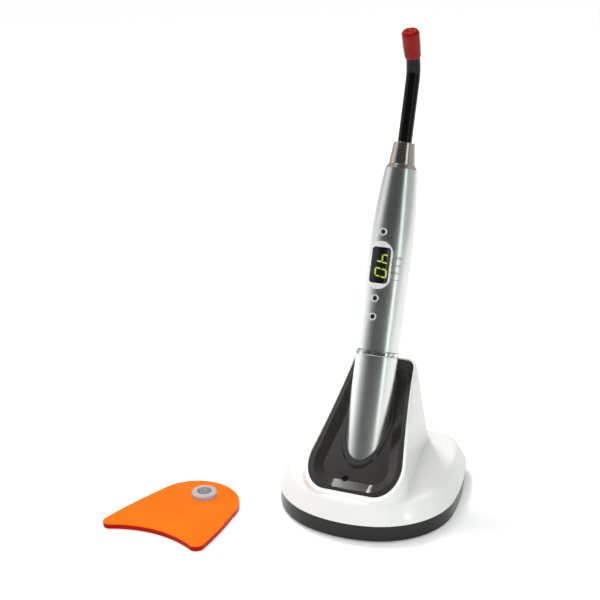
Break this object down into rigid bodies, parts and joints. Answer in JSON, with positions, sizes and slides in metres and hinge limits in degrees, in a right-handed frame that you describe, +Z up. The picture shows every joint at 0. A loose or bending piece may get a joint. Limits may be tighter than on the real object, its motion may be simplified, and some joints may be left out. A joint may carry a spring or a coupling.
{
  "type": "dental lab light curing unit",
  "caption": "Charging base with leaning cradle, cordless curing handpiece with bent light guide, display and buttons, and a loose orange eye shield.",
  "frame": {"origin": "centre of the base's underside, on the surface it stands on", "axes": "+Z up, -Y is the front of the base, +X to its right"},
  "size_m": [0.1812, 0.1605, 0.2622],
  "materials": {
    "white_cover": "glossy warm white moulding",
    "black_tray": "glossy black moulding",
    "black_insert": "polished black moulding",
    "rubber_pad": "matt anti-slip rubber",
    "clear_lens": "clear moulded lens",
    "circuit_board": "green solder mask",
    "gold_contact": "gold plated",
    "light_pipe": "milky light pipe",
    "black_plastic": "moulded black",
    "steel": "plain steel",
    "silver_anodised": "satin silver anodised",
    "chrome": "polished chrome",
    "seal_rubber": "soft black rubber",
    "cell_wrap": "shrink wrapped cell",
    "bezel_silver": "bright plated bezel",
    "window_glass": "smoked window",
    "display_face": "dark display block with green digits",
    "button_black": "glossy black key",
    "stainless": "warm turned stainless steel",
    "plain_aluminium": "turned aluminium",
    "emitter": "light emitter with clear dome",
    "guide_black": "black jacketed light guide",
    "guide_glass": "fused glass fibre core",
    "bush_black": "low friction bush",
    "red_vinyl": "soft glossy red vinyl",
    "orange_acrylic": "orange filter acrylic",
    "grey_rubber": "grey rubber grommet"
  },
  "bodies": {
    "charging_base": {"top_cover": "white_cover", "base_tray": "black_tray", "anti_slip_pad": "rubber_pad", "cradle_insert": "black_insert", "sensor_lens": "clear_lens", "sensor_board": "circuit_board", "charge_contacts": "gold_contact", "status_light_pipe": "light_pipe", "dc_jack": "black_plastic", "base_board": "circuit_board", "ballast_bar": "steel", "base_screws": "steel"},
    "battery_handle": {"rear_tube": "silver_anodised", "joint_ring": "chrome", "joint_seal": "seal_rubber", "tail_contacts": "gold_contact", "cell_spring": "steel", "battery_cell": "cell_wrap"},
    "front_handle": {"front_tube": "silver_anodised", "display_bezel": "bezel_silver", "display_window": "window_glass", "display_module": "display_face", "button_rings": "chrome", "tact_switches": "black_plastic", "control_board": "circuit_board", "cell_contact": "gold_contact", "collar": "stainless", "heat_sink": "plain_aluminium", "led_board": "plain_aluminium", "led_emitter": "emitter", "collimator_lens": "clear_lens"},
    "guide_seat": {"guide_bush": "bush_black"},
    "light_guide": {"guide_sheath": "guide_black", "guide_core": "guide_glass"},
    "tip_cover": {"tip_cap": "red_vinyl"},
    "mode_key": {"button_mode": "button_black"},
    "time_key": {"button_time": "button_black"},
    "start_key": {"button_start": "button_black"},
    "eye_shield": {"shield_plate": "orange_acrylic", "shield_grommet": "grey_rubber"}
  },
  "joints": [
    {"name": "handpiece_lift", "type": "slide", "parent": "charging_base", "child": "battery_handle", "axis": [0, 0.3584, 0.9336], "range_m": [0, 0.12]},
    {"name": "body_unscrew", "type": "slide", "parent": "battery_handle", "child": "front_handle", "axis": [0, 0.3584, 0.9336], "range_m": [0, 0.075]},
    {"name": "guide_pull", "type": "slide", "parent": "front_handle", "child": "guide_seat", "axis": [0, 0.3584, 0.9336], "range_m": [0, 0.02]},
    {"name": "guide_swivel", "type": "hinge", "parent": "guide_seat", "child": "light_guide", "pos_m": [0, 0.04382, 0.19232], "axis": [0, 0.3584, 0.9336], "continuous": true},
    {"name": "cap_pull", "type": "slide", "parent": "light_guide", "child": "tip_cover", "axis": [0, -0.3746, 0.9272], "range_m": [0, 0.025]},
    {"name": "mode_press", "type": "slide", "parent": "front_handle", "child": "mode_key", "axis": [0.1392, 0.9245, -0.3549], "range_m": [0, 0.0004], "stiffness_N_per_m": 1500},
    {"name": "time_press", "type": "slide", "parent": "front_handle", "child": "time_key", "axis": [0.1392, 0.9245, -0.3549], "range_m": [0, 0.0004], "stiffness_N_per_m": 1500},
    {"name": "start_press", "type": "slide", "parent": "front_handle", "child": "start_key", "axis": [0.1392, 0.9245, -0.3549], "range_m": [0, 0.0004], "stiffness_N_per_m": 1500},
    {"name": "shield_lift", "type": "slide", "parent": "charging_base", "child": "eye_shield", "axis": [0, 0, 1], "range_m": [0, 0.1]}
  ]
}
